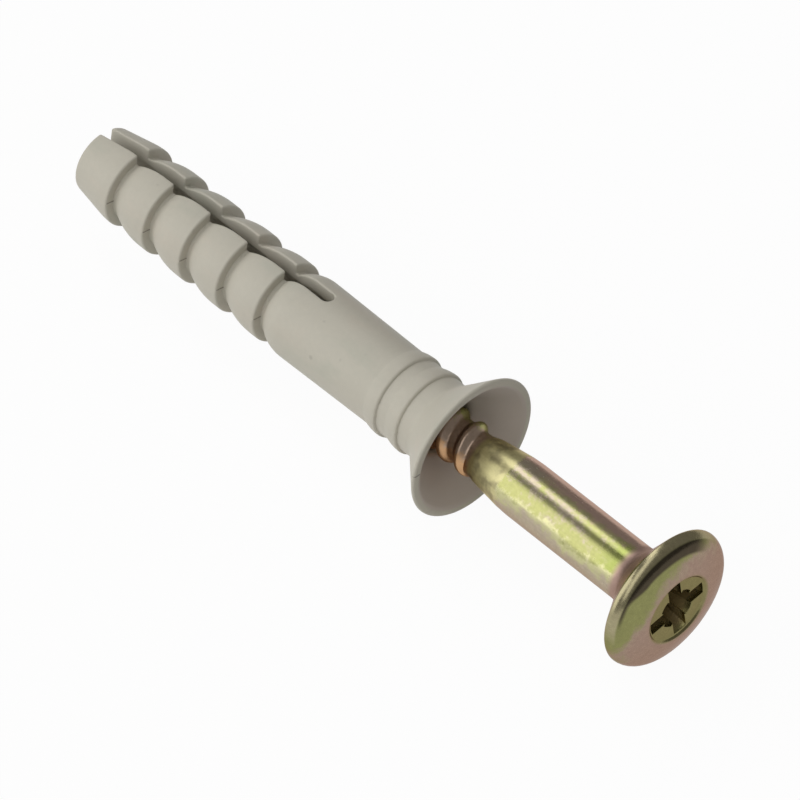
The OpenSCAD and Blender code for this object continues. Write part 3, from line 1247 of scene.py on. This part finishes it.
@dataclass
class DriveNail:
    """The nail screw: point, rolled thread, coned shoulder, plain shank and raised head with a cross recess.

    It is one grid. Its rows run from the point up the outside, over the head and down into the recess. Its
    columns run round the axis, with a column on each corner of the recess.
    """

    length: float = 34.5
    point_len: float = 3.0
    point_r: float = 0.25
    root_r: float = 1.36
    root_lift: float = 0.02
    crest_r: float = 1.72
    pitch: float = 1.62
    crest_w: float = 0.1
    ridge_w: float = 1.2
    thread_step: float = 0.05
    thread_turn: float = 0.25
    shank_r: float = 1.95
    shoulder: tuple[Pair, ...] = (
        (1.36, -16.2), (1.6, -15.4), (1.78, -14.0), (1.905, -12.95), (1.95, -12.1),
    )
    head_r: float = 4.87
    head_round: float = 0.15
    face_round: float = 0.95
    dome_h: float = 1.7
    seat_angle: float = 56.0
    head_fillet: float = 1.25
    dish_r: float = 2.5
    dish_depth: float = 0.15
    wing_r: float = 2.2
    wing_w: float = 1.0
    star_r: float = 1.35
    star_w: float = 0.8
    recess_depth: float = 2.4
    recess_turn: float = 9.0
    recess_tip: float = 0.25
    draw: float = 0.42
    edge: float = 0.06
    # Rows and columns of the grid
    outline_soft: float = 0.05
    row_gap: float = 0.4
    row_turn: float = 6.0
    wing_columns: int = 5
    flank_columns: int = 6
    star_columns: int = 3
    dish_rows: int = 8
    floor_rows: int = 5
    lip_rows: int = 4
    wall_rows: int = 11
    tip_rows: int = 5
    crease: float = 38.0

    def columns(self) -> np.ndarray:
        """Angles from a wing, with one on each corner of the recess, once round.

        Returns:
            The angles, in radians.
        """
        diagonal = math.pi / 4
        wing = math.asin(self.wing_w / 2 / self.wing_r)
        star = diagonal - math.asin(self.star_w / 2 / self.star_r)
        side = math.sqrt(0.5) * self.wing_w
        cross = math.atan2(side, self.star_w + side)
        eighth = np.concatenate([
            np.linspace(0, wing, self.wing_columns, endpoint=False),
            np.linspace(wing, cross, self.flank_columns, endpoint=False),
            np.linspace(cross, star, self.star_columns, endpoint=False),
            np.linspace(star, diagonal, self.star_columns, endpoint=False),
        ])
        quarter = np.sort(np.r_[eighth, diagonal, (2 * diagonal - eighth)[1:]])
        return np.concatenate([quarter + k * math.pi / 2 for k in range(4)])

    def recess_outline(self, phi: np.ndarray) -> np.ndarray:
        """Reach of the cross recess in each direction: the furthest of its wings and its blunt points.

        A bar of half-width w and reach l is left at w / |sin a| or at l, whichever comes first.

        Args:
            phi: Angles from a wing.

        Returns:
            The radii.
        """
        reach = np.zeros_like(phi)
        for turn, width, length in ((0, self.wing_w, self.wing_r), (math.pi / 4, self.star_w, self.star_r)):
            for quarter in (0, math.pi / 2):
                across = np.abs(np.sin(phi - turn - quarter))
                reach = np.maximum(reach, np.minimum(length, width / 2 / np.maximum(across, TINY)))
        return reach

    def body_outline(self) -> np.ndarray:
        """Outline from the shoulder, up the shank and round the head, to the rim of the dish.

        Returns:
            Rows of (r, z), with z = 0 at the widest line of the head.
        """
        front = self.face_round
        rim_r = self.head_r - front
        dome_r = (rim_r ** 2 + self.dome_h ** 2 - front ** 2) / (2 * (self.dome_h - front))
        dome_angle = math.degrees(math.asin(rim_r / (dome_r - front)))
        dish_angle = math.degrees(math.acos(self.dish_r / dome_r))
        seat = math.radians(self.seat_angle)
        back = self.head_round
        back_r = self.head_r - back
        foot_z = -back * math.sin(seat) - (back_r + back * math.cos(seat) - self.shank_r) / math.tan(seat)
        fillet_z = foot_z - self.head_fillet * math.tan(seat / 2)
        return np.vstack((
            np.array(self.shoulder),
            arc(self.shank_r + self.head_fillet, fillet_z, self.head_fillet, 180, 180 - self.seat_angle),
            arc(back_r, 0, back, -self.seat_angle, 0),
            arc(rim_r, 0, front, 0, 90 - dome_angle)[1:],
            arc(0, self.dome_h - dome_r, dome_r, 90 - dome_angle, dish_angle),
        ))

    def thread(self, phi: np.ndarray) -> tuple[np.ndarray, np.ndarray]:
        """The threaded part, from the point to the shoulder.

        The ridge winds to the right: at height z and angle phi its place in the pitch is
        z / pitch - phi / 2 pi. It falls from its crest to the root in a smooth step, and runs out at the
        point.

        Args:
            phi: Angles of the columns.

        Returns:
            Radii and heights, as rows by columns.
        """
        low, high = -self.length, self.shoulder[0][1]
        z = np.linspace(low, high, int((high - low) / self.thread_step))[:, None]
        cone = self.point_r + (self.crest_r - self.point_r) * np.clip((z - low) / self.point_len, 0, 1)
        core = np.minimum(cone * self.root_r / self.crest_r + self.root_lift, self.root_r)
        place = np.mod(z / self.pitch - phi[None, :] / (2 * math.pi) + self.thread_turn, 1.0) - 0.5
        away = np.abs(place) * self.pitch
        flank = np.clip((self.ridge_w / 2 - away) / ((self.ridge_w - self.crest_w) / 2), 0, 1)
        radius = np.maximum(core, core + (cone - core) * smooth(flank))
        return radius, np.broadcast_to(z, radius.shape)

    def recess(self, phi: np.ndarray, rim_z: float) -> tuple[np.ndarray, np.ndarray]:
        """The dish and the cross recess, from the rim of the dish to the middle of the bottom.

        The dish falls in a smooth step, its floor runs in to the outline of the recess, a quarter round leads
        over the edge, the walls draw in evenly, and the bottom closes in a shallow tip.

        Args:
            phi: Angles of the columns, from a wing.
            rim_z: Height of the rim of the dish.

        Returns:
            Radii and heights, as rows by columns.
        """
        reach = self.recess_outline(phi)[None, :]
        floor_z = rim_z - self.dish_depth
        bottom_z = rim_z - self.recess_depth
        floor_rim = self.wing_r + self.edge
        ease = shares(self.dish_rows)
        dish_r = self.dish_r + (floor_rim - self.dish_r) * ease
        dish_z = rim_z - self.dish_depth * smooth(ease)
        inward = shares(self.floor_rows)
        floor_r = floor_rim * (1 - inward) + (reach + self.edge) * inward
        turn = quarter_turn(self.lip_rows)[:, None]
        lip_r = reach + self.edge * (1 - np.sin(turn))
        lip_z = floor_z - self.edge * (1 - np.cos(turn))
        down = shares(self.wall_rows)
        wall_r = reach * (1 - self.draw * down)
        wall_z = floor_z - self.edge + (bottom_z - floor_z + self.edge) * down
        shut = shares(self.tip_rows)
        tip_r = reach * (1 - self.draw) * (1 - shut)
        tip_z = bottom_z - self.recess_tip * shut
        one = np.ones_like(reach)
        flat_z = np.full_like(inward, floor_z)
        radius = np.vstack([rows * one for rows in (dish_r, floor_r, lip_r, wall_r, tip_r)])
        height = np.vstack([rows * one for rows in (dish_z, flat_z, lip_z, wall_z, tip_z)])
        return radius, height

    def surface(self) -> np.ndarray:
        """The whole nail about its own axis, with z = 0 at the widest line of the head.

        Returns:
            Points as rows by columns by (z, y, up), in millimetres.
        """
        phi = self.columns()
        outline = Outline(self.body_outline(), self.outline_soft)
        body, _ = outline.at(outline.stations(0, outline.run[-1], self.row_gap, self.row_turn))
        one = np.ones((1, phi.size))
        thread_r, thread_z = self.thread(phi)
        recess_r, recess_z = self.recess(phi, float(body[-1, 1]))
        radius = np.vstack((0 * one, thread_r, body[1:, :1] * one, recess_r))
        height = np.vstack((-self.length * one, thread_z, body[1:, 1:] * one, recess_z))
        angle = phi[None, :] + math.radians(self.recess_turn)
        return np.stack((height, radius * np.cos(angle), radius * np.sin(angle)), axis=-1)

    def widest(self) -> Vector:
        """Middle of the head's widest line on its place in the frame, in metres."""
        return box_middle(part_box("drive_nail"), 0.0) + Vector((self.length * MM, 0, 0))

    def build(self) -> bpy.types.Object:
        """Builds the nail on its place in the frame.

        Returns:
            The piece.
        """
        points = self.surface()
        faces = grid_faces(*points.shape[:2], wrap_columns=True)
        return mesh_piece("drive_nail_plated", [(points * MM + np.array(self.widest()), faces)], self.crease)

    def dress(self, piece: bpy.types.Object, finish: YellowZinc) -> None:
        """Gives the nail its finish, hides the part that it stands for, and says what it rides on.

        Args:
            piece: The nail.
            finish: Its finish.
        """
        piece.data.materials.append(finish.material(self.widest()))
        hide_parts("drive_nail")
        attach(piece, Body.NAIL.value)


# Studio


@dataclass(frozen=True)
class SoftLight:
    """A soft light: an evenly lit white sheet that faces the plug, with its sizes and distance in metres."""

    name: str
    toward: Triple
    distance: float
    width: float
    height: float
    watts: float

    def build(self, target: Vector) -> bpy.types.Object:
        """Hangs the light.

        Args:
            target: Point that it faces.

        Returns:
            The light.
        """
        data = bpy.data.lights.new(self.name, "AREA")
        data.shape = "RECTANGLE"
        data.size = self.width
        data.size_y = self.height
        data.energy = self.watts
        light = bpy.data.objects.new(self.name, data)
        way = Vector(self.toward).normalized()
        light.location = target + way * self.distance
        light.rotation_euler = way.to_track_quat("Z", "Y").to_euler()
        bpy.context.scene.collection.objects.link(light)
        return light


@dataclass
class Studio:
    """The camera at the photograph's angle, the pale floor, the soft lights and the room."""

    azimuth: float = 47.3
    elevation: float = 46.3
    distance: float = 426.5
    frame_px: float = 800.0
    focal_px: float = 6877.0
    collar_px: Pair = (472.9, 448.75)
    sensor_w: float = 36.0
    clip_near: float = 0.01
    clip_far: float = 20.0
    floor_reach: float = 3.0
    floor_colour: Colour = (0.90, 0.90, 0.90)
    floor_roughness: float = 0.9
    floor_glow: float = 0.95
    room: Colour = (0.27, 0.265, 0.26)
    lights: tuple[SoftLight, ...] = (
        SoftLight("side_sheet", (-0.508, -0.76, 0.41), 0.9, 0.9, 0.95, 4.2),
        SoftLight("top_strip", (-0.508, 0.167, 0.843), 0.9, 0.30, 0.9, 1.7),
        SoftLight("front_strip", (0.22, -0.50, 0.80), 0.9, 0.36, 1.40, 2.0),
    )

    def camera(self, collar: Vector) -> bpy.types.Object:
        """Sets up the camera so that the middle of the collar's face falls on its pixel.

        Args:
            collar: Middle of the collar's face, in metres.

        Returns:
            The camera.
        """
        a, e = math.radians(self.azimuth), math.radians(self.elevation)
        back = Vector((math.sin(a) * math.cos(e), -math.cos(a) * math.cos(e), math.sin(e)))
        right = Vector((math.cos(a), math.sin(a), 0.0))
        up = back.cross(right)
        per_px = self.distance * MM / self.focal_px
        shift_x = (self.collar_px[0] - self.frame_px / 2) * per_px
        shift_y = (self.frame_px / 2 - self.collar_px[1]) * per_px
        data = bpy.data.cameras.new("camera")
        data.sensor_width = self.sensor_w
        data.sensor_fit = "HORIZONTAL"
        data.lens = self.focal_px * self.sensor_w / self.frame_px
        data.clip_start = self.clip_near
        data.clip_end = self.clip_far
        camera = bpy.data.objects.new("camera", data)
        turn = Matrix((right, up, back)).transposed()
        place = collar + back * self.distance * MM - right * shift_x - up * shift_y
        camera.matrix_world = Matrix.Translation(place) @ turn.to_4x4()
        bpy.context.scene.collection.objects.link(camera)
        bpy.context.scene.camera = camera
        return camera

    def floor(self, height: float) -> bpy.types.Object:
        """Lays the floor, which is white to the camera and in reflections, and keeps a share of its shadow.

        Args:
            height: Height of the floor, in metres.

        Returns:
            The floor.
        """
        corners = np.array([(-1, -1), (1, -1), (1, 1), (-1, 1)], float) * self.floor_reach
        mesh = bpy.data.meshes.new("floor")
        mesh.from_pydata(np.column_stack((corners, np.full(4, height))), [], [(0, 1, 2, 3)])
        piece = bpy.data.objects.new("floor", mesh)
        bpy.context.scene.collection.objects.link(piece)
        shader = Shader(
            "floor",
            Base_Color=(*self.floor_colour, 1.0),
            Roughness=self.floor_roughness,
            Specular_IOR_Level=0.0,
        )
        path = shader.node("ShaderNodeLightPath").socket.node.outputs
        seen = Sock(shader, path["Is Camera Ray"]) + Sock(shader, path["Is Glossy Ray"])
        seen = (seen + Sock(shader, path["Is Transmission Ray"])).clamped()
        glow = shader.node("ShaderNodeEmission", {}, {"Color": (1, 1, 1, 1), "Strength": 1.0})
        body = Sock(shader, shader.main.outputs[0])
        both = shader.node("ShaderNodeMixShader", {}, {0: seen * self.floor_glow, 1: body, 2: glow})
        shader.tree.links.new(both.socket, shader.tree.nodes["Material Output"].inputs[0])
        mesh.materials.append(shader.material)
        return piece

    def build(self) -> None:
        """Builds the studio round the frame."""
        scene = bpy.context.scene
        scene.view_settings.view_transform = "Standard"
        collar = box_middle(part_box("plug_sleeve"), 1.0)
        self.camera(collar)
        self.floor(CAD_BOX[0].z)
        for light in self.lights:
            light.build(collar)
        world = bpy.data.worlds.new("room")
        world.use_nodes = True
        world.node_tree.nodes["Background"].inputs[0].default_value = (*self.room, 1.0)
        scene.world = world


def main() -> None:
    """Builds the studio and the pieces, and reports each piece."""
    logging.basicConfig(level=logging.INFO, format="%(message)s")
    Studio().build()
    for maker, finish in ((PlugSleeve(), GreyPlastic()), (DriveNail(), YellowZinc())):
        piece = maker.build()
        maker.dress(piece, finish)
        piece.data.calc_loop_triangles()
        LOG.info("%s: %d triangles", piece.name, len(piece.data.loop_triangles))


if __name__ == "__main__":
    main()
